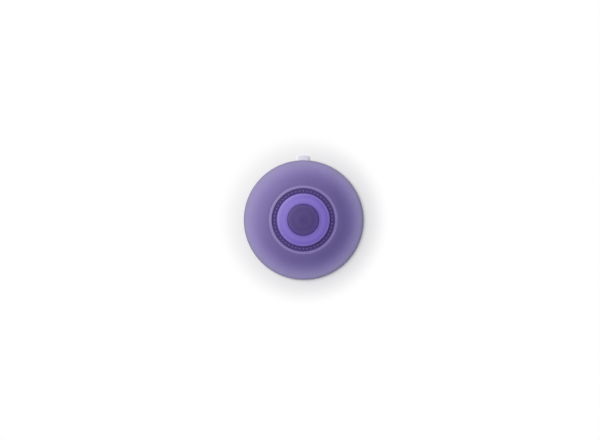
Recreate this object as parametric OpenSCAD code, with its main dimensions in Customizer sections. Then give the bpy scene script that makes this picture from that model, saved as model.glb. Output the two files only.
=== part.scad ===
// Adhesive magnetic patch for the back of a phone.
// A low flared skirt of soft plastic spreads the load over an adhesive pad. In its middle a
// stiff collar rings a round groove, and a domed boss over a ring of magnets stands inside it.
// A mount's collar drops into the groove, and the magnets pull it down on the boss.
// Origin: centre of the adhesive's underside. +Z points away from the phone, +Y to the tab.

/* [Skirt] */
// Outer diameter of the skirt
skirt_d = 60; // [59:0.5:66]
// Thickness of the skirt's outer edge
rim_t = 0.5; // [0.4:0.05:0.8]
// Width of the straight land at the rim
rim_land = 1.1; // [0.8:0.1:1.6]
// Slope of the land at the rim, in degrees
rim_slope = 7.5; // [6.5:0.5:8.5]
// Slope of the skirt where it is steepest, in degrees
cone_slope = 19; // [18:0.5:20]
// Width of the straight cone, between the flare and the shoulder
cone_w = 2.4; // [2:0.1:3]
// Width of the rounded shoulder that leads from the cone to the collar
shoulder_w = 2.9; // [2.5:0.1:3.5]
// Slope of the shoulder where it meets the collar, in degrees
neck_slope = 7; // [5:0.5:9]
// Wall thickness of the skirt where it is hollow
skirt_wall = 1.0; // [0.8:0.05:1.1]

/* [Collar and groove] */
// Outer diameter of the collar's lip
lip_d = 34.6; // [34.2:0.1:35.4]
// Outer diameter of the groove inside the lip
groove_d = 31.8; // [31:0.1:32.2]
// Slope of the lip's top, in degrees
lip_slope = 5.5; // [4:0.5:8]
// Step from the skirt's neck up to the outer edge of the lip
lip_step = 0; // [0:0.02:0.1]
// Depth of the groove at the studs, below the crest of the lip
groove_depth = 0.4; // [0.35:0.05:0.55]
// Number of grip studs in the groove
stud_n = 48; // [24:2:60]
// Diameter of a grip stud
stud_d = 0.76; // [0.5:0.02:1]

/* [Boss] */
// Diameter of the boss, which is the groove's inner wall
boss_d = 26.2; // [26.1:0.1:26.8]
// Diameter of the opening in the domed ring
eye_d = 16.1; // [16:0.1:16.3]
// Diameter of the circle where the roof of the domed ring starts to roll over
roll_d = 20.4; // [19.6:0.2:21]
// Slope of the roof round the opening, in degrees
roof_slope = 4; // [3:0.5:5]
// Slope of the roof at its outer edge, in degrees
edge_slope = 11.5; // [10:0.5:14]
// Height of the opening's edge above the crest of the lip
eye_rise = 1; // [0.9:0.05:1.1]
// Diameter of the centre cap
cap_d = 15.6; // [14.8:0.1:15.7]
// Radius of the sphere that the top of the centre cap is a part of
cap_dome_r = 100; // [70:5:140]

/* [Adhesive] */
// Thickness of the adhesive pad
pad_t = 0.6; // [0.4:0.05:0.8]
// Diameter of the adhesive pad
pad_d = 58; // [52:0.5:59]
// Width of the pad's pull tab
tab_w = 5.6; // [4:0.2:10]
// Reach of the pull tab past the rim of the skirt
tab_reach = 2.4; // [1.4:0.1:4]

/* [Magnets] */
// Inner diameter of the ring of magnets
magnet_id = 18.8; // [18.8:0.1:20]
// Outer diameter of the ring of magnets
magnet_od = 24; // [22.8:0.1:24]
// Height of a magnet
magnet_h = 1.8; // [1.4:0.1:1.8]
// Thickness of the divider between two magnets
divider_t = 0.8; // [0.6:0.05:1.2]

/* [Hidden] */
$fn = 96;
magnet_n = 12;
function magnet_name(i) = str("magnet_", i < 9 ? "0" : "", i + 1);

// Radii of the driving circles
skirt_r = skirt_d / 2;
lip_r = lip_d / 2;
groove_r = groove_d / 2;
boss_r = boss_d / 2;
eye_r = eye_d / 2;
roll_in_r = roll_d / 2;
cap_r = cap_d / 2;
pad_r = pad_d / 2;
magnet_ir = magnet_id / 2;
magnet_or = magnet_od / 2;
arc_n = 16;        // straight steps along a long arc of a section
edge_n = 4;        // straight steps round a moulded edge
overlap = 0.3;     // how far a rib runs into the wall that carries it
gap = 0.05;        // assembly clearance between two mouldings

// Skirt: land, concave flare, straight cone and convex shoulder, from the rim inwards
rim_edge_r = 0.2;
heel_edge_r = 0.15;
rim_z = pad_t + rim_t;
flare_out_r = skirt_r - rim_land;
cone_out_r = lip_r + shoulder_w + cone_w;
cone_in_r = lip_r + shoulder_w;
flare_r = (flare_out_r - cone_out_r) / (sin(cone_slope) - sin(rim_slope));
flare_cr = flare_out_r + flare_r * sin(rim_slope);
flare_cz = rim_z + rim_land * tan(rim_slope) + flare_r * cos(rim_slope);
cone_top_z = flare_cz - flare_r * cos(cone_slope) + cone_w * tan(cone_slope);
shoulder_r = shoulder_w / (sin(cone_slope) - sin(neck_slope));
shoulder_cr = lip_r - shoulder_r * sin(neck_slope);
shoulder_cz = cone_top_z - shoulder_r * cos(cone_slope);
neck_z = shoulder_cz + shoulder_r * cos(neck_slope);

// Base plate: stakes that are melted over the collar's foot, and gussets under the skirt's cone
base_t = 0.8;
land_seat_w = 5.5;
base_r = skirt_r - land_seat_w;
base_z = pad_t + base_t;
stake_n = 12;
stake_d = 0.9;
stake_head_d = 1.7;
stake_head_t = 0.3;
stake_pitch_r = lip_r + stake_head_d / 2 + gap;
gusset_n = 24;
gusset_t = 0.9;
gusset_clear = 0.6;
prop_ir = 14.3;
prop_or = 15.3;
post_r = 1.5;

// Collar: sloping lip and foot, and the stud ring caught in the step below the groove
lip_out_z = neck_z + lip_step;
lip_z = lip_out_z + (lip_r - groove_r) * tan(lip_slope);
lip_edge_r = 0.08;
lip_edge_drop = lip_edge_r / cos(lip_slope);
foot_t = 0.6;
foot_reach = 2;
foot_r = lip_r + foot_reach;
grip_t = 0.6;
web_t = 0.7;
grip_z = lip_z - groove_depth;
web_z = grip_z - grip_t;
web_under_z = web_z - web_t;
step_reach = 0.4;
step_t = 0.3;
stud_pitch_r = (groove_r + boss_r) / 2;
stud_proud = 0.06;
crown_margin = 0.1;
grip_crown_r = stud_pitch_r + stud_d / 2 + crown_margin;
grip_fall = 0.2;

// Magnets, the carrier that spaces them and the steel ring behind them
yoke_t = 0.8;
yoke_ir = 8.8;
yoke_z = base_z + yoke_t;
carrier_ir = 8.75;
magnet_pitch = 360 / magnet_n;

// Domed ring: roof, step on the grip ring, two walls and the snap hooks
boss_ledge = 0.25;
shank_r = boss_r - boss_ledge;
shank_hole_r = shank_r + gap;
shank_wall = 0.7;
shank_ir = shank_r - shank_wall;
boss_edge_r = 0.35;
edge_cone_w = 0.5;
roll_out_r = boss_r - boss_edge_r - edge_cone_w;
roll_r = (roll_out_r - roll_in_r) / (sin(edge_slope) - sin(roof_slope));
roll_cr = roll_in_r - roll_r * sin(roof_slope);
eye_z = lip_z + eye_rise;
roll_z = eye_z - (roll_in_r - eye_r) * tan(roof_slope);
roll_cz = roll_z - roll_r * cos(roof_slope);
boss_edge_cr = boss_r - boss_edge_r;
boss_edge_cz = roll_cz + roll_r * cos(edge_slope) - boss_edge_r / cos(edge_slope)
    - (boss_edge_cr - roll_out_r) * tan(edge_slope);
roof_under_z = yoke_z + magnet_h + 2 * gap;
eye_chamfer = 0.12;
eye_wall_t = 0.7;
eye_wall_h = 2.1;
eye_under_z = eye_z - eye_wall_h;
hook_n = 6;
hook_span = 20;
hook_reach = 0.45;
hook_barb_h = 0.12;
slot_span = 4;

// Centre cap: spherical shell with a captive flange, ribs and a socket for the base plate's post
cap_wall = 0.9;
cap_chamfer = 0.1;
cap_sink = 0.12;
cap_edge_z = eye_z - cap_sink;
cap_cz = cap_edge_z - sqrt(cap_dome_r ^ 2 - cap_r ^ 2);
cap_flange_reach = 0.35;
cap_flange_r = eye_r + cap_flange_reach;
cap_flange_t = 0.55;
cap_flange_z = eye_under_z - gap - cap_flange_t;
cap_rib_n = 6;
cap_rib_z = cap_flange_z + cap_flange_t;
cap_rib_t = 0.7;
socket_r = 2.6;
post_clear = 0.2;
post_top_z = cap_z(0) - cap_wall - post_clear;
dimple_depth = 0.05;
dimple_r = 20;
trough_pitch_r = cap_r * 0.7;
trough_depth = 0.03;
trough_r = 3;

// Height of the skirt's underside at radius r on its straight cone
function under_cone_z(r) =
    cone_top_z - (r - cone_in_r) * tan(cone_slope) - skirt_wall / cos(cone_slope);

// Height of the centre cap's top at radius r
function cap_z(r) = cap_cz + sqrt(cap_dome_r ^ 2 - r ^ 2);

// Points [radius, height] along an arc, from one angle to the other
function arc(cx, cy, r, from, to, steps) =
    [for (i = [0:steps]) let (a = from + (to - from) * i / steps) [cx + r * cos(a), cy + r * sin(a)]];

// Flat ring between two radii and two heights
module ring(inner, outer, low, high) {
    translate([0, 0, low])
        difference() {
            cylinder(r = outer, h = high - low);
            translate([0, 0, -1])
                cylinder(r = inner, h = high - low + 2);
        }
}

// Children, repeated evenly round the axis
module around(count, phase = 0) {
    for (i = [0:count - 1])
        rotate([0, 0, phase + i * 360 / count])
            children();
}

// Wedge of a ring, centred on +X, to cut slots or to keep a sector
module sector(span, outer, low, high) {
    reach = outer / cos(span / 2);
    translate([0, 0, low])
        linear_extrude(high - low)
            polygon([
                [0, 0],
                [reach * cos(span / 2), -reach * sin(span / 2)],
                [reach * cos(span / 2), reach * sin(span / 2)]
            ]);
}

// Die-cut sheet of adhesive foam, with a rounded tab to peel it by
module adhesive_pad() {
    corner_r = 1.2;
    tab_end_y = skirt_r + tab_reach;
    color([0.70, 0.67, 0.78])
        union() {
            cylinder(r = pad_r, h = pad_t);
            translate([-tab_w / 2, pad_r - 2, 0])
                cube([tab_w, tab_end_y - corner_r - pad_r + 2, pad_t]);
            translate([-tab_w / 2 + corner_r, pad_r - 2, 0])
                cube([tab_w - 2 * corner_r, tab_end_y - pad_r + 2, pad_t]);
            for (side = [-1, 1])
                translate([side * (tab_w / 2 - corner_r), tab_end_y - corner_r, 0])
                    cylinder(r = corner_r, h = pad_t);
        }
}

// Stiff plate that closes the patch from below and carries the adhesive
module base_plate() {
    color([0.27, 0.23, 0.40])
        union() {
            translate([0, 0, pad_t])
                cylinder(r = base_r, h = base_t);
            ring(prop_ir, prop_or, base_z - overlap, web_under_z);
            translate([0, 0, base_z - overlap])
                cylinder(r = post_r, h = post_top_z - base_z + overlap);
            around(stake_n, 360 / gusset_n / 2)
                stake();
            around(gusset_n)
                gusset();
        }
}

// Heat stake: a post through the collar's foot, melted to a flat head
module stake() {
    translate([stake_pitch_r, 0, base_z - overlap]) {
        cylinder(d = stake_d, h = foot_t + 2 * overlap, $fn = 24);
        translate([0, 0, foot_t + overlap])
            cylinder(d = stake_head_d, h = stake_head_t, $fn = 24);
    }
}

// Triangular rib that holds up the skirt's cone
module gusset() {
    inner = foot_r + gusset_clear;
    outer = cone_out_r - skirt_wall * sin(cone_slope) - gap;
    rotate([90, 0, 0])
        translate([0, 0, -gusset_t / 2])
            linear_extrude(gusset_t)
                polygon([
                    [inner, base_z - overlap],
                    [outer, base_z - overlap],
                    [outer, under_cone_z(outer) - gap],
                    [inner, under_cone_z(inner) - gap]
                ]);
}

// Flared skirt: constant wall over the hollow, solid land on the adhesive
module skirt() {
    under_angle = acos((flare_cz - base_z) / (flare_r + skirt_wall));
    neck_under_angle = asin((lip_r - shoulder_cr) / (shoulder_r - skirt_wall));
    color([0.52, 0.47, 0.66])
        rotate_extrude()
            polygon(concat(
                [[base_r + gap, pad_t], [skirt_r - heel_edge_r, pad_t]],
                arc(skirt_r - heel_edge_r, pad_t + heel_edge_r, heel_edge_r, -90, 0, edge_n),
                arc(skirt_r - rim_edge_r, rim_z - rim_edge_r, rim_edge_r, 0, 90 - rim_slope, edge_n),
                arc(flare_cr, flare_cz, flare_r, -90 - rim_slope, -90 - cone_slope, arc_n),
                arc(shoulder_cr, shoulder_cz, shoulder_r, 90 - cone_slope, 90 - neck_slope, arc_n / 2),
                arc(shoulder_cr, shoulder_cz, shoulder_r - skirt_wall, 90 - neck_under_angle,
                    90 - cone_slope, arc_n / 4),
                arc(flare_cr, flare_cz, flare_r + skirt_wall, -90 - cone_slope, -90 - under_angle,
                    arc_n / 4),
                [[base_r + gap, base_z]]
            ));
}

// Stiff collar: sloping lip, outer wall of the groove, and a foot staked to the base plate
module collar() {
    color([0.56, 0.51, 0.70])
        difference() {
            rotate_extrude()
                collar_profile();
            around(stake_n, 360 / gusset_n / 2)
                translate([stake_pitch_r, 0, base_z - 1])
                    cylinder(r = stake_d / 2 + gap, h = foot_t + 2, $fn = 24);
        }
}

module collar_profile() {
    polygon(concat(
        [[groove_r + step_reach + gap, base_z], [foot_r, base_z], [foot_r, base_z + foot_t]],
        [[lip_r, base_z + foot_t]],
        arc(lip_r - lip_edge_r, lip_out_z + lip_edge_r * tan(lip_slope) - lip_edge_drop,
            lip_edge_r, 0, 90 - lip_slope, edge_n),
        arc(groove_r + lip_edge_r, lip_z - lip_edge_r * tan(lip_slope) - lip_edge_drop,
            lip_edge_r, 90 - lip_slope, 180, edge_n),
        [[groove_r, web_under_z + step_t], [groove_r + step_reach + gap, web_under_z + step_t]]
    ));
}

// Stiff ring below the groove: its rim is caught in the collar's step, its studs stand up
module stud_ring() {
    color([0.58, 0.53, 0.72])
        union() {
            rotate_extrude()
                polygon([
                    [shank_hole_r, web_under_z],
                    [groove_r + step_reach, web_under_z],
                    [groove_r + step_reach, web_under_z + step_t],
                    [groove_r, web_under_z + step_t],
                    [groove_r, web_z],
                    [shank_hole_r, web_z]
                ]);
            around(stud_n)
                translate([stud_pitch_r, 0, web_z - overlap])
                    cylinder(d = stud_d, h = grip_t + overlap + stud_proud, $fn = 24);
        }
}

// Soft ring on the floor of the groove, level round its studs and falling away towards the lip
module grip_ring() {
    color([0.26, 0.21, 0.40])
        difference() {
            rotate_extrude()
                polygon([
                    [shank_hole_r, web_z],
                    [groove_r, web_z],
                    [groove_r, grip_z - grip_fall],
                    [grip_crown_r, grip_z],
                    [shank_hole_r, grip_z]
                ]);
            around(stud_n)
                translate([stud_pitch_r, 0, web_z - 1])
                    cylinder(d = stud_d, h = grip_t + 2, $fn = 24);
        }
}

// Domed ring over the magnets, dropped in until its hooks snap under the stud ring
module dome_ring() {
    color([0.51, 0.44, 0.76])
        difference() {
            union() {
                rotate_extrude()
                    dome_profile();
                around(hook_n)
                    hook();
            }
            around(hook_n)
                hook_slots();
        }
}

// Section of the domed ring: a low cone from the opening outwards, which rolls over to the edge
module dome_profile() {
    polygon(concat(
        [[eye_r - eye_chamfer, eye_z - eye_chamfer], [eye_r, eye_z]],
        arc(roll_cr, roll_cz, roll_r, 90 - roof_slope, 90 - edge_slope, arc_n / 2),
        arc(boss_edge_cr, boss_edge_cz, boss_edge_r, 90 - edge_slope, 0, edge_n),
        [[boss_r, grip_z], [shank_r, grip_z], [shank_r, base_z], [shank_ir, base_z]],
        [[shank_ir, roof_under_z], [eye_r - eye_chamfer + eye_wall_t, roof_under_z]],
        [[eye_r - eye_chamfer + eye_wall_t, eye_under_z], [eye_r - eye_chamfer, eye_under_z]]
    ));
}

// Barbed foot of the domed ring that catches under the stud ring
module hook() {
    intersection() {
        rotate_extrude()
            polygon([
                [shank_r - overlap, base_z + gap],
                [shank_r + hook_reach / 2, base_z + gap],
                [shank_r + hook_reach, web_under_z - gap - hook_barb_h],
                [shank_r + hook_reach, web_under_z - gap],
                [shank_r - overlap, web_under_z - gap]
            ]);
        sector(hook_span, boss_r + 2, base_z, web_under_z);
    }
}

// Two slots beside each hook, which let it spring inwards
module hook_slots() {
    for (side = [-1, 1])
        rotate([0, 0, side * (hook_span + slot_span) / 2])
            intersection() {
                sector(slot_span, boss_r + 2, base_z - 1, web_z);
                ring(shank_ir - 0.5, boss_r + 1, base_z - 1, web_z);
            }
}

// Domed cap in the eye of the boss, held captive by a flange below the domed ring
module centre_cap() {
    color([0.31, 0.26, 0.47])
        difference() {
            union() {
                rotate_extrude()
                    cap_profile();
                translate([0, 0, cap_flange_z + gap])
                    cylinder(r = socket_r, h = cap_z(0) - cap_wall / 2 - cap_flange_z - gap);
                around(cap_rib_n)
                    cap_rib();
            }
            translate([0, 0, base_z])
                cylinder(r = post_r + gap / 2, h = post_top_z - base_z);
        }
}

// Section of the cap: spherical shell with a dimple over the gate and a fine turned trough
module cap_profile() {
    difference() {
        polygon(concat(
            [[0, cap_z(0) - cap_wall]],
            [for (k = [1:edge_n]) let (r = (cap_r - cap_wall) * k / edge_n) [r, cap_z(r) - cap_wall]],
            [[cap_r - cap_wall, cap_flange_z], [cap_flange_r, cap_flange_z]],
            [[cap_flange_r, cap_flange_z + cap_flange_t], [cap_r, cap_flange_z + cap_flange_t]],
            [[cap_r, cap_edge_z - cap_chamfer]],
            [for (k = [arc_n:-1:0]) let (r = (cap_r - cap_chamfer) * k / arc_n) [r, cap_z(r)]]
        ));
        translate([0, cap_z(0) + dimple_r - dimple_depth])
            circle(dimple_r);
        translate([trough_pitch_r, cap_z(trough_pitch_r) + trough_r - trough_depth])
            circle(trough_r);
    }
}

// Rib between the cap's socket and its outer wall
module cap_rib() {
    inner = socket_r - overlap;
    outer = cap_r - cap_wall + overlap;
    rotate([90, 0, 0])
        translate([0, 0, -cap_rib_t / 2])
            linear_extrude(cap_rib_t)
                polygon([
                    [inner, cap_rib_z],
                    [outer, cap_rib_z],
                    [outer, cap_z(outer) - cap_wall + overlap],
                    [inner, cap_z(inner) - cap_wall + overlap]
                ]);
}

// Steel ring that closes the magnets' field on the phone's side
module yoke_ring() {
    color([0.66, 0.67, 0.69])
        ring(yoke_ir, magnet_or, base_z, yoke_z);
}

// Moulded spider that spaces the magnets: a hub ring and a divider between each two
module magnet_carrier() {
    color([0.20, 0.19, 0.22])
        union() {
            ring(carrier_ir, magnet_ir - gap, yoke_z, yoke_z + magnet_h);
            around(magnet_n, magnet_pitch / 2)
                intersection() {
                    ring(magnet_ir - overlap, magnet_or, yoke_z, yoke_z + magnet_h);
                    translate([0, -divider_t / 2, yoke_z])
                        cube([magnet_or + 1, divider_t, magnet_h]);
                }
        }
}

// One arc magnet between two dividers
module arc_magnet(i) {
    color(i % 2 == 0 ? [0.78, 0.79, 0.80] : [0.70, 0.71, 0.73])
        rotate([0, 0, i * magnet_pitch])
            difference() {
                intersection() {
                    ring(magnet_ir, magnet_or, yoke_z, yoke_z + magnet_h);
                    sector(magnet_pitch, magnet_or + 1, yoke_z, yoke_z + magnet_h);
                }
                for (side = [-1, 1])
                    rotate([0, 0, side * magnet_pitch / 2])
                        translate([0, -divider_t / 2 - gap, yoke_z - 1])
                            cube([magnet_or + 2, divider_t + 2 * gap, magnet_h + 2]);
            }
}

adhesive_pad();
base_plate();
skirt();
collar();
stud_ring();
grip_ring();
dome_ring();
centre_cap();
yoke_ring();
magnet_carrier();
for (i = [0:magnet_n - 1])
    arc_magnet(i);
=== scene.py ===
import math

import bmesh
import bpy
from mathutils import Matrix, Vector


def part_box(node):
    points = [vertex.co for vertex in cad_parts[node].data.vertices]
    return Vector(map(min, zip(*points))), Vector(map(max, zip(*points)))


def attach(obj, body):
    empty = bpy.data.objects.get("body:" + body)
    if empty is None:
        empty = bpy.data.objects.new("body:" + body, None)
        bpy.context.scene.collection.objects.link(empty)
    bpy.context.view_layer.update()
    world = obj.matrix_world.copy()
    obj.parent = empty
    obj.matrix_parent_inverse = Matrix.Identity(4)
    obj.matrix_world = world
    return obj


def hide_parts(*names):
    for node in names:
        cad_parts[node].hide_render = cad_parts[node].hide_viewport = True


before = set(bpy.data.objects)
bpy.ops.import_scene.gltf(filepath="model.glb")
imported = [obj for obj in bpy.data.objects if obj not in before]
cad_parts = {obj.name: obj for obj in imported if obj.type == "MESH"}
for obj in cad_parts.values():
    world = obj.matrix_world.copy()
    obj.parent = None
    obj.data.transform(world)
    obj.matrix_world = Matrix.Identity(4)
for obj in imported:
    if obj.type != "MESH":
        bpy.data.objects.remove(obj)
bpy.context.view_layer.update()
MM = 0.001


# Adhesive pad. A die-cut sheet of milky acrylic foam, sticky on both faces. It is cut round,
# a little smaller than the skirt, with one rounded tab that is left out to peel the patch off.

pad_low, pad_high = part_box("adhesive_pad")
pad_top = pad_high.z
pad_r = -pad_low.y
pad_sides = 192
pad_edge = 0.05 * MM
tab_w = 5.6 * MM
tab_corner = 1.2 * MM


def set_in_place(bm, name, node, soft_angle=32):
    """Closes a mesh, shades it smooth up to an angle and lets it stand for its solid."""
    seam_gap = 0.0005 * MM
    bmesh.ops.remove_doubles(bm, verts=bm.verts, dist=seam_gap)
    bmesh.ops.recalc_face_normals(bm, faces=bm.faces)
    mesh = bpy.data.meshes.new(name)
    bm.to_mesh(mesh)
    bm.free()
    mesh.shade_smooth()
    mesh.set_sharp_from_angle(angle=math.radians(soft_angle))
    piece = bpy.data.objects.new(name, mesh)
    bpy.context.scene.collection.objects.link(piece)
    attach(piece, "root")
    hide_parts(node)
    return piece


def tint(red, green, blue):
    """A colour as a screen shows it, 0 to 255, turned into linear light."""
    shares = [c / 255 for c in (red, green, blue)]
    return [s / 12.92 if s <= 0.04045 else ((s + 0.055) / 1.055) ** 2.4 for s in shares] + [1]


def moulded_grain():
    """Fine spark-eroded grain of a mould: a height, and a soft mottle from 0 to 1."""
    blotch_size = 6.25 * MM
    group = bpy.data.node_groups.new("moulded_grain", "ShaderNodeTree")
    face = group.interface
    face.new_socket("Grain size", in_out="INPUT", socket_type="NodeSocketFloat")
    face.new_socket("Height", in_out="OUTPUT", socket_type="NodeSocketFloat")
    face.new_socket("Mottle", in_out="OUTPUT", socket_type="NodeSocketFloat")
    given = group.nodes.new("NodeGroupInput")
    out = group.nodes.new("NodeGroupOutput")
    place = group.nodes.new("ShaderNodeTexCoord")
    pits = group.nodes.new("ShaderNodeTexVoronoi")
    pits.feature = "SMOOTH_F1"
    waves = group.nodes.new("ShaderNodeTexNoise")
    waves.inputs["Detail"].default_value = 4
    cloud = group.nodes.new("ShaderNodeTexNoise")
    cloud.inputs["Scale"].default_value = 1 / blotch_size
    cloud.inputs["Detail"].default_value = 3
    fine = group.nodes.new("ShaderNodeMath")
    fine.operation = "DIVIDE"
    fine.inputs[0].default_value = 1
    both = group.nodes.new("ShaderNodeMath")
    both.operation = "ADD"
    link = group.links.new
    link(given.outputs["Grain size"], fine.inputs[1])
    for texture in (pits, waves):
        link(place.outputs["Object"], texture.inputs["Vector"])
        link(fine.outputs[0], texture.inputs["Scale"])
    link(place.outputs["Object"], cloud.inputs["Vector"])
    link(pits.outputs["Distance"], both.inputs[0])
    link(waves.outputs["Fac"], both.inputs[1])
    link(both.outputs[0], out.inputs["Height"])
    link(cloud.outputs["Fac"], out.inputs["Mottle"])
    return group


def ring_shade():
    """Distance from the axis of the rings, in millimetres, for tints that follow the rings."""
    group = bpy.data.node_groups.new("ring_shade", "ShaderNodeTree")
    group.interface.new_socket("Radius", in_out="OUTPUT", socket_type="NodeSocketFloat")
    out = group.nodes.new("NodeGroupOutput")
    place = group.nodes.new("ShaderNodeTexCoord")
    flat = group.nodes.new("ShaderNodeVectorMath")
    flat.operation = "MULTIPLY"
    flat.inputs[1].default_value = (1 / MM, 1 / MM, 0)
    length = group.nodes.new("ShaderNodeVectorMath")
    length.operation = "LENGTH"
    link = group.links.new
    link(place.outputs["Object"], flat.inputs[0])
    link(flat.outputs["Vector"], length.inputs[0])
    link(length.outputs["Value"], out.inputs["Radius"])
    return group


GRAIN = moulded_grain()
RADIUS = ring_shade()


def finish(name, stops, grain_mm, bump, rough, mottle=0.06, metal=0.0):
    """A finish: tints by radius in mm, a fine grain, and a roughness that varies softly. On
    several mouldings the tints also hold painted shade and painted light. Up to three tints run
    straight from one to the next, and more make a soft curve."""
    mottle_low, mottle_high = 0.3, 0.7
    rough_swing = 0.05
    grain_depth = grain_mm * MM / 4
    material = bpy.data.materials.new(name)
    material.use_nodes = True
    nodes, link = material.node_tree.nodes, material.node_tree.links.new
    shader = nodes["Principled BSDF"]
    shader.inputs["Metallic"].default_value = metal

    grain = nodes.new("ShaderNodeGroup")
    grain.node_tree = GRAIN
    grain.inputs["Grain size"].default_value = grain_mm * MM
    radius = nodes.new("ShaderNodeGroup")
    radius.node_tree = RADIUS

    first, last = stops[0][0], stops[-1][0]
    span = nodes.new("ShaderNodeMapRange")
    span.inputs["From Min"].default_value = first
    span.inputs["From Max"].default_value = last
    link(radius.outputs["Radius"], span.inputs["Value"])
    ramp = nodes.new("ShaderNodeValToRGB")
    tints = ramp.color_ramp
    tints.interpolation = "B_SPLINE" if len(stops) > 3 else "LINEAR"
    while len(tints.elements) < len(stops):
        tints.elements.new(0.5)
    for element, (at, colour) in zip(tints.elements, stops):
        element.position = (at - first) / (last - first)
        element.color = colour
    link(span.outputs["Result"], ramp.inputs["Fac"])

    mottled = nodes.new("ShaderNodeMix")
    mottled.data_type = "RGBA"
    mottled.blend_type = "OVERLAY"
    mottled.inputs["Factor"].default_value = mottle
    link(ramp.outputs["Color"], mottled.inputs["A"])
    link(grain.outputs["Mottle"], mottled.inputs["B"])
    link(mottled.outputs["Result"], shader.inputs["Base Color"])

    gloss = nodes.new("ShaderNodeMapRange")
    gloss.inputs["From Min"].default_value = mottle_low
    gloss.inputs["From Max"].default_value = mottle_high
    gloss.inputs["To Min"].default_value = rough - rough_swing
    gloss.inputs["To Max"].default_value = rough + rough_swing
    link(grain.outputs["Mottle"], gloss.inputs["Value"])
    link(gloss.outputs["Result"], shader.inputs["Roughness"])

    relief = nodes.new("ShaderNodeBump")
    relief.inputs["Strength"].default_value = bump
    relief.inputs["Distance"].default_value = grain_depth
    link(grain.outputs["Height"], relief.inputs["Height"])
    link(relief.outputs["Normal"], shader.inputs["Normal"])
    return material


def sheet_outline(inset=0.0):
    """The outline of the sheet with its tab, or a line at a distance inside it."""
    round_r = pad_r - inset
    half_w = tab_w / 2 - inset
    bm = bmesh.new()
    bmesh.ops.create_circle(bm, cap_ends=False, segments=pad_sides, radius=round_r)
    inside_tab = [v for v in bm.verts if v.co.y > 0 and abs(v.co.x) < half_w]
    bmesh.ops.delete(bm, geom=inside_tab, context="VERTS")
    left, right = sorted((v for v in bm.verts if len(v.link_edges) == 1), key=lambda v: v.co.x)
    left.co.x, right.co.x = -half_w, half_w
    left.co.y = right.co.y = math.sqrt(round_r**2 - half_w**2)
    corners = [bm.verts.new((side * half_w, pad_high.y - inset, 0)) for side in (-1, 1)]
    for ends in ((left, corners[0]), (corners[0], corners[1]), (corners[1], right)):
        bm.edges.new(ends)
    bmesh.ops.bevel(bm, geom=corners, offset=tab_corner - inset, offset_type="OFFSET",
                    affect="VERTICES", segments=8, profile=0.5, material=-1)
    return bm


bm = sheet_outline()
bmesh.ops.contextual_create(bm, geom=bm.edges)
sheet_face = bm.faces[:]
grown = bmesh.ops.extrude_face_region(bm, geom=sheet_face)
raised = [v for v in grown["geom"] if isinstance(v, bmesh.types.BMVert)]
bmesh.ops.translate(bm, verts=raised, vec=(0, 0, pad_top))
level = 0.01 * MM
cut_angle = math.radians(60)
rims = [e for e in bm.edges if e.is_manifold and e.calc_face_angle(0) > cut_angle
        and abs(e.verts[0].co.z - e.verts[1].co.z) < level]
bmesh.ops.bevel(bm, geom=rims, offset=pad_edge, offset_type="OFFSET", affect="EDGES",
                segments=2, profile=0.5, material=-1)
adhesive = set_in_place(bm, "adhesive_sheet", "adhesive_pad")
foam = finish(
    "acrylic_foam",
    [(0, tint(206, 202, 220)), (29, tint(212, 208, 226)), (31, tint(222, 219, 234))],
    grain_mm=0.16, bump=0.25, rough=0.5, mottle=0.10)
milky = foam.node_tree.nodes["Principled BSDF"]
milky.inputs["Subsurface Weight"].default_value = 0.15
milky.inputs["Subsurface Radius"].default_value = (0.8, 0.7, 1)
milky.inputs["Subsurface Scale"].default_value = 0.6 * MM
adhesive.data.materials.append(foam)


# Base plate. A stiff injection-moulded disc that closes the patch from below. Its stakes
# pass through the collar's foot and are melted over it, and its post carries the centre cap.

def refinish(node, material):
    """Gives a solid of the frame its finish."""
    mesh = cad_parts[node].data
    mesh.materials.clear()
    mesh.materials.append(material)


refinish("base_plate", finish(
    "base_plastic", [(0, tint(72, 62, 106)), (25, tint(80, 70, 116))],
    grain_mm=0.10, bump=0.2, rough=0.5))


# Yoke ring. A washer stamped from zinc-plated steel sheet, which closes the magnets' field
# behind them. It lies loose on the base plate, held down by the magnets.

refinish("yoke_ring", finish(
    "zinc_plated_steel", [(8, tint(168, 170, 176)), (13, tint(178, 180, 186))],
    grain_mm=0.06, bump=0.15, rough=0.34, mottle=0.2, metal=1.0))


# Magnet carrier. A dark glass-filled moulding, a hub with twelve dividers, which keeps the
# magnets from snapping together while they are glued to the yoke ring.

refinish("magnet_carrier", finish(
    "carrier_plastic", [(8, tint(50, 48, 56)), (13, tint(58, 56, 64))],
    grain_mm=0.08, bump=0.35, rough=0.6, mottle=0.15))


# Magnets. Twelve arcs of sintered neodymium with bright nickel plating, magnetised through
# their height, north and south up by turns.

nickel = finish(
    "nickel_plating", [(9, tint(196, 196, 194)), (13, tint(206, 206, 204))],
    grain_mm=0.05, bump=0.08, rough=0.22, mottle=0.12, metal=1.0)
for number in range(1, 13):
    refinish(f"magnet_{number:02d}", nickel)


# Skirt. One soft moulding in frosted lavender: a thin land that lies on the adhesive, a hollow
# flare, and a cone up to the collar. Its tint is painted darker towards the collar and paler
# towards the thin rim, painted light for light that comes through the rim, and its last tint is
# painted shade, a fine dark edge where the rim meets the table.

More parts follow.
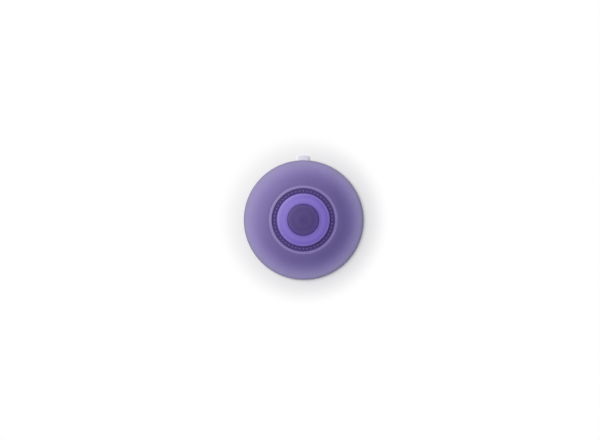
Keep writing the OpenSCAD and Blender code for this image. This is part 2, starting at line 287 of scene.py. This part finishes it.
skirt_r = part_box("skirt")[1].x
groove_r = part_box("grip_ring")[1].x
lip_w = 1.4 * MM
rim_t = 0.5 * MM
plate_t = 0.8 * MM
plate_gap = 0.05 * MM
lip_r = groove_r + lip_w
rim_z = pad_top + rim_t
base_top = pad_top + plate_t
base_seat_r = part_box("base_plate")[1].x + plate_gap
land_w = 1.1 * MM
cone_w = 2.4 * MM
shoulder_w = 2.9 * MM
land_slope = math.radians(7.5)
cone_slope = math.radians(19)
neck_slope = math.radians(7)
skirt_wall = 1.0 * MM
heel_round = 0.15 * MM
rim_round = 0.2 * MM
flare_out_r = skirt_r - land_w
cone_in_r = lip_r + shoulder_w
cone_out_r = cone_in_r + cone_w
flare_r = (flare_out_r - cone_out_r) / (math.sin(cone_slope) - math.sin(land_slope))
flare_out_z = rim_z + land_w * math.tan(land_slope)
flare_centre = (flare_out_r + flare_r * math.sin(land_slope),
                flare_out_z + flare_r * math.cos(land_slope))
flare_under_r = flare_r + skirt_wall
flare_under_slope = math.acos((flare_centre[1] - base_top) / flare_under_r)
cone_top_z = flare_centre[1] - flare_r * math.cos(cone_slope) + cone_w * math.tan(cone_slope)
shoulder_r = shoulder_w / (math.sin(cone_slope) - math.sin(neck_slope))
shoulder_centre = (lip_r - shoulder_r * math.sin(neck_slope),
                   cone_top_z - shoulder_r * math.cos(cone_slope))
neck_under_slope = math.asin((lip_r - shoulder_centre[0]) / (shoulder_r - skirt_wall))


def sweep(centre, turn, steps=24):
    """An arc of an outline, about a centre (radius, height), clockwise if positive."""
    return {"centre": centre, "turn": turn, "steps": steps}


def revolved(start, *moves):
    """A closed outline turned round the axis. A move is (radius, height), (radius, height,
    rounding) or a sweep."""
    sides = 240
    bm = bmesh.new()
    first = here = bm.verts.new((start[0], 0, start[1]))
    roundings = []
    for move in moves:
        if isinstance(move, dict):
            cx, cz = move["centre"]
            made = bmesh.ops.spin(bm, geom=[here], cent=(cx, 0, cz), axis=(0, 1, 0),
                                  angle=move["turn"], steps=move["steps"])
            here = [g for g in made["geom_last"] if isinstance(g, bmesh.types.BMVert)][0]
        else:
            corner = bm.verts.new((move[0], 0, move[1]))
            bm.edges.new((here, corner))
            here = corner
            if len(move) == 3:
                roundings.append((corner, move[2]))
    bm.edges.new((here, first))
    for corner, rounding in roundings:
        bmesh.ops.bevel(bm, geom=[corner], offset=rounding, offset_type="OFFSET",
                        affect="VERTICES", segments=6, profile=0.5, material=-1)
    loop = [v for v in bm.verts if not v.link_faces]
    edges = [e for e in bm.edges if not e.link_faces]
    bmesh.ops.spin(bm, geom=loop + edges, cent=(0, 0, 0), axis=(0, 0, 1),
                   angle=math.tau, steps=sides, use_merge=True)
    return bm


bm = revolved(
    (base_seat_r, pad_top),
    (skirt_r, pad_top, heel_round),
    (skirt_r, rim_z, rim_round),
    (flare_out_r, flare_out_z),
    sweep(flare_centre, cone_slope - land_slope),
    (cone_in_r, cone_top_z),
    sweep(shoulder_centre, neck_slope - cone_slope),
    (lip_r, shoulder_centre[1] + (shoulder_r - skirt_wall) * math.cos(neck_under_slope)),
    sweep(shoulder_centre, cone_slope - neck_under_slope, steps=8),
    (flare_centre[0] - flare_under_r * math.sin(cone_slope),
     flare_centre[1] - flare_under_r * math.cos(cone_slope)),
    sweep(flare_centre, flare_under_slope - cone_slope, steps=8),
    (base_seat_r, base_top),
)
skirt = set_in_place(bm, "skirt_moulding", "skirt")
# Painted light: the tints grow paler out to the rim. Painted shade: the last tint darkens its
# edge.
skirt.data.materials.append(finish(
    "frosted_lavender",
    [(17.3, tint(107, 93, 154)), (20.5, tint(113, 99, 161)), (23, tint(122, 108, 169)),
     (25.5, tint(137, 124, 182)), (28, tint(151, 141, 193)), (29.3, tint(150, 143, 181)),
     (30, tint(130, 120, 163))],
    grain_mm=0.14, bump=0.45, rough=0.60, mottle=0.08))


# Collar. A stiff satin moulding: a pale lip that slopes outwards, the outer wall of the groove,
# and a foot under the skirt that the base plate's stakes hold down.

def joined_copy(node):
    """A solid of the frame with its faces joined, so that curved faces can shade as one."""
    corner_gap = 0.001 * MM
    bm = bmesh.new()
    bm.from_mesh(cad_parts[node].data)
    bmesh.ops.remove_doubles(bm, verts=bm.verts, dist=corner_gap)
    for face in bm.faces:
        face.material_index = 0
    return bm


collar = set_in_place(joined_copy("collar"), "collar_moulding", "collar")
collar.data.materials.append(finish(
    "satin_lavender",
    [(15.9, tint(133, 118, 178)), (16.5, tint(138, 124, 184)), (17.3, tint(139, 125, 184))],
    grain_mm=0.10, bump=0.30, rough=0.41, mottle=0.06))


# Stud ring. A stiff ring caught in the step below the groove, with a row of small studs that
# stand through the grip ring and bite into the mount's sleeve. The moulding rounds their heads.

def at_height(part, height):
    """Whether all corners of an edge or a face lie at a height."""
    near = 0.002 * MM
    return all(abs(v.co.z - height) < near for v in part.verts)


def edges_at(bm, height):
    """The level edges at a height where the surface bends."""
    bend = math.radians(20)
    return [e for e in bm.edges if at_height(e, height) and e.calc_face_angle(0) > bend]


stud_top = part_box("stud_ring")[1].z
stud_round = 0.15 * MM

bm = joined_copy("stud_ring")
heads = [f for f in bm.faces if at_height(f, stud_top)]
bmesh.ops.dissolve_faces(bm, faces=heads)
bmesh.ops.bevel(bm, geom=edges_at(bm, stud_top), offset=stud_round, offset_type="OFFSET",
                affect="EDGES", segments=4, profile=0.5, material=-1)
studs = set_in_place(bm, "stud_moulding", "stud_ring")
studs.data.materials.append(finish(
    "stud_plastic", [(13, tint(113, 94, 168)), (16, tint(113, 94, 168))],
    grain_mm=0.08, bump=0.20, rough=0.41, mottle=0.06))


# Grip ring. A soft dark elastomer moulded into the floor of the groove, level round the studs
# and falling away towards the lip. Towards the lip its tint is painted paler, painted light that
# lifts the shade under the lip's wall. Its holes close round the studs.

grip = set_in_place(joined_copy("grip_ring"), "grip_moulding", "grip_ring")
# Painted light: the last tint lightens the band in the shade of the lip's wall.
grip.data.materials.append(finish(
    "grip_elastomer",
    [(13, tint(64, 44, 119)), (15.1, tint(65, 46, 115)), (15.9, tint(82, 64, 131))],
    grain_mm=0.13, bump=0.70, rough=0.62, mottle=0.10))


# Domed ring. A vivid satin moulding over the magnets. Its roof falls as a low cone from the
# opening and rolls over to a rounded edge, where the mount's sleeve slides down. The photo
# shows that edge a little further out than the solid has it, so the roof is widened here.

solid_r = 13.1 * MM
boss_r = 13.3 * MM
shank_r = 12.85 * MM
roll_in_r = 10.2 * MM
ledge_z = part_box("grip_ring")[1].z
magnet_gap = 0.1 * MM
roof_under_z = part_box("magnet_01")[1].z + magnet_gap
eye_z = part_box("dome_ring")[1].z
eye_chamfer = 0.12 * MM
eye_round = 0.05 * MM

bm = joined_copy("dome_ring")
for corner in bm.verts:
    reach = corner.co.xy.length
    on_roof = corner.co.z > roof_under_z + level and reach > roll_in_r
    on_ledge = corner.co.z > ledge_z - level and reach > shank_r + level
    if on_roof or on_ledge:
        share = (reach - roll_in_r) / (solid_r - roll_in_r)
        corner.co.xy *= 1 + share * (boss_r - solid_r) / reach
for height in (eye_z, eye_z - eye_chamfer):
    bmesh.ops.bevel(bm, geom=edges_at(bm, height), offset=eye_round, offset_type="OFFSET",
                    affect="EDGES", segments=3, profile=0.5, material=-1)
dome = set_in_place(bm, "dome_moulding", "dome_ring", soft_angle=40)
# Painted shade darkens the tint next to the eye and in a band where the roof rolls over. The
# paler tint at the rounded edge is a painted sheen.
dome.data.materials.append(finish(
    "vivid_satin",
    [(7.9, tint(108, 89, 175)), (9, tint(132, 111, 203)), (10.3, tint(135, 115, 208)),
     (11.4, tint(126, 104, 200)), (11.8, tint(121, 99, 196)), (12.5, tint(136, 117, 204)),
     (13.1, tint(136, 117, 202))],
    grain_mm=0.09, bump=0.16, rough=0.37, mottle=0.05))


# Centre cap. A dark satin disc with a domed top, a dimple over the gate and a fine turned
# trough. It stands loose in the eye of the domed ring and is caught by a flange below it.

cap = set_in_place(joined_copy("centre_cap"), "cap_moulding", "centre_cap")
# Painted shade darkens the tint in the dimple and at the trough. The lighter rings between them
# and towards the edge are painted light.
cap.data.materials.append(finish(
    "dark_satin",
    [(0, tint(67, 47, 119)), (1.5, tint(70, 50, 122)), (3.2, tint(78, 61, 129)),
     (4.4, tint(75, 58, 125)), (5.3, tint(70, 52, 120)), (6.6, tint(80, 62, 132)),
     (7.6, tint(82, 62, 139))],
    grain_mm=0.10, bump=0.32, rough=0.51, mottle=0.07))


# Floor. A pale table that carries the patch's shadow, plain white away from it and clear from
# below. A window is hidden under the patch and its tab, so that the sky lights their underside.

floor_r = 2.0
window_inset = 0.5 * MM
floor_drop = 0.02 * MM
floor_sides = 192
floor_colour = (0.93, 0.93, 0.935, 1)
white_from, white_to = 30, 44

bm = sheet_outline(window_inset)
bmesh.ops.create_circle(bm, cap_ends=False, segments=floor_sides, radius=floor_r)
bmesh.ops.bridge_loops(bm, edges=bm.edges[:])
facing_down = [f for f in bm.faces if f.normal.z < 0]
bmesh.ops.reverse_faces(bm, faces=facing_down)
floor_mesh = bpy.data.meshes.new("floor")
bm.to_mesh(floor_mesh)
bm.free()
floor = bpy.data.objects.new("floor", floor_mesh)
floor.location.z = -floor_drop
bpy.context.scene.collection.objects.link(floor)

table = bpy.data.materials.new("pale_table")
table.use_nodes = True
nodes, link = table.node_tree.nodes, table.node_tree.links.new
shaded = nodes["Principled BSDF"]
shaded.inputs["Base Color"].default_value = floor_colour
shaded.inputs["Roughness"].default_value = 0.7
plain_white = nodes.new("ShaderNodeEmission")
away = nodes.new("ShaderNodeGroup")
away.node_tree = RADIUS
fade = nodes.new("ShaderNodeMapRange")
fade.interpolation_type = "SMOOTHSTEP"
fade.inputs["From Min"].default_value = white_from
fade.inputs["From Max"].default_value = white_to
floor_rays = nodes.new("ShaderNodeLightPath")
in_view = nodes.new("ShaderNodeMath")
in_view.operation = "MAXIMUM"
whitened = nodes.new("ShaderNodeMath")
whitened.operation = "MULTIPLY"
top_side = nodes.new("ShaderNodeMixShader")
clear = nodes.new("ShaderNodeBsdfTransparent")
side = nodes.new("ShaderNodeNewGeometry")
both_sides = nodes.new("ShaderNodeMixShader")
link(away.outputs["Radius"], fade.inputs["Value"])
link(floor_rays.outputs["Is Camera Ray"], in_view.inputs[0])
link(floor_rays.outputs["Is Glossy Ray"], in_view.inputs[1])
link(fade.outputs["Result"], whitened.inputs[0])
link(in_view.outputs[0], whitened.inputs[1])
link(whitened.outputs[0], top_side.inputs["Fac"])
link(shaded.outputs["BSDF"], top_side.inputs[1])
link(plain_white.outputs["Emission"], top_side.inputs[2])
link(side.outputs["Backfacing"], both_sides.inputs["Fac"])
link(top_side.outputs["Shader"], both_sides.inputs[1])
link(clear.outputs["BSDF"], both_sides.inputs[2])
link(both_sides.outputs["Shader"], nodes["Material Output"].inputs["Surface"])
floor_mesh.materials.append(table)


# Light. An even sky, slightly blue, that the camera sees as plain white, and one large soft
# lamp near the upper left, slightly warm. Each share is a part of what lights white as white.

sky_share = 0.315
sky_colour = (0.90, 0.94, 1.16, 1)
white = (1, 1, 1, 1)
key_share = 0.80
key_colour = (1.0, 0.97, 0.88)
key_azimuth = math.radians(149)
key_elevation = math.radians(48)
key_distance = 0.4
key_size = 0.5

world = bpy.data.worlds.new("studio")
world.use_nodes = True
nodes, link = world.node_tree.nodes, world.node_tree.links.new
even_sky = nodes["Background"]
even_sky.inputs["Color"].default_value = sky_colour
even_sky.inputs["Strength"].default_value = sky_share
white_beyond = nodes.new("ShaderNodeBackground")
white_beyond.inputs["Color"].default_value = white
sky_rays = nodes.new("ShaderNodeLightPath")
sky = nodes.new("ShaderNodeMixShader")
link(sky_rays.outputs["Is Camera Ray"], sky.inputs["Fac"])
link(even_sky.outputs["Background"], sky.inputs[1])
link(white_beyond.outputs["Background"], sky.inputs[2])
link(sky.outputs["Shader"], nodes["World Output"].inputs["Surface"])
bpy.context.scene.world = world

key = bpy.data.lights.new("key", "AREA")
key.shape = "DISK"
key.size = key_size
key.color = key_colour
key.energy = key_share * math.pi**2 * key_distance**2 / math.sin(key_elevation)
key_lamp = bpy.data.objects.new("key", key)
towards_key = Vector((math.cos(key_elevation) * math.cos(key_azimuth),
                      math.cos(key_elevation) * math.sin(key_azimuth),
                      math.sin(key_elevation)))
key_lamp.location = towards_key * key_distance
key_lamp.rotation_euler = towards_key.to_track_quat("Z", "Y").to_euler()
bpy.context.scene.collection.objects.link(key_lamp)


# Camera. A long lens that looks straight down on the patch, and keeps it at the place and the
# size that it has in the photo. Both are given in the photo's pixels.

photo_w, photo_h = 600, 440
patch_centre_px = Vector((303.4, 219.9))
patch_radius_px = 59.65
px_per_m = patch_radius_px / skirt_r
lens = bpy.data.cameras.new("camera")
lens.lens = 135
lens.clip_start = 0.01
lens.clip_end = 10
camera = bpy.data.objects.new("camera", lens)
camera.location = (
    -(patch_centre_px.x - photo_w / 2) / px_per_m,
    (patch_centre_px.y - photo_h / 2) / px_per_m,
    rim_z + lens.lens / lens.sensor_width * photo_w / px_per_m,
)
bpy.context.scene.collection.objects.link(camera)
bpy.context.scene.camera = camera
bpy.context.scene.view_settings.view_transform = "Standard"
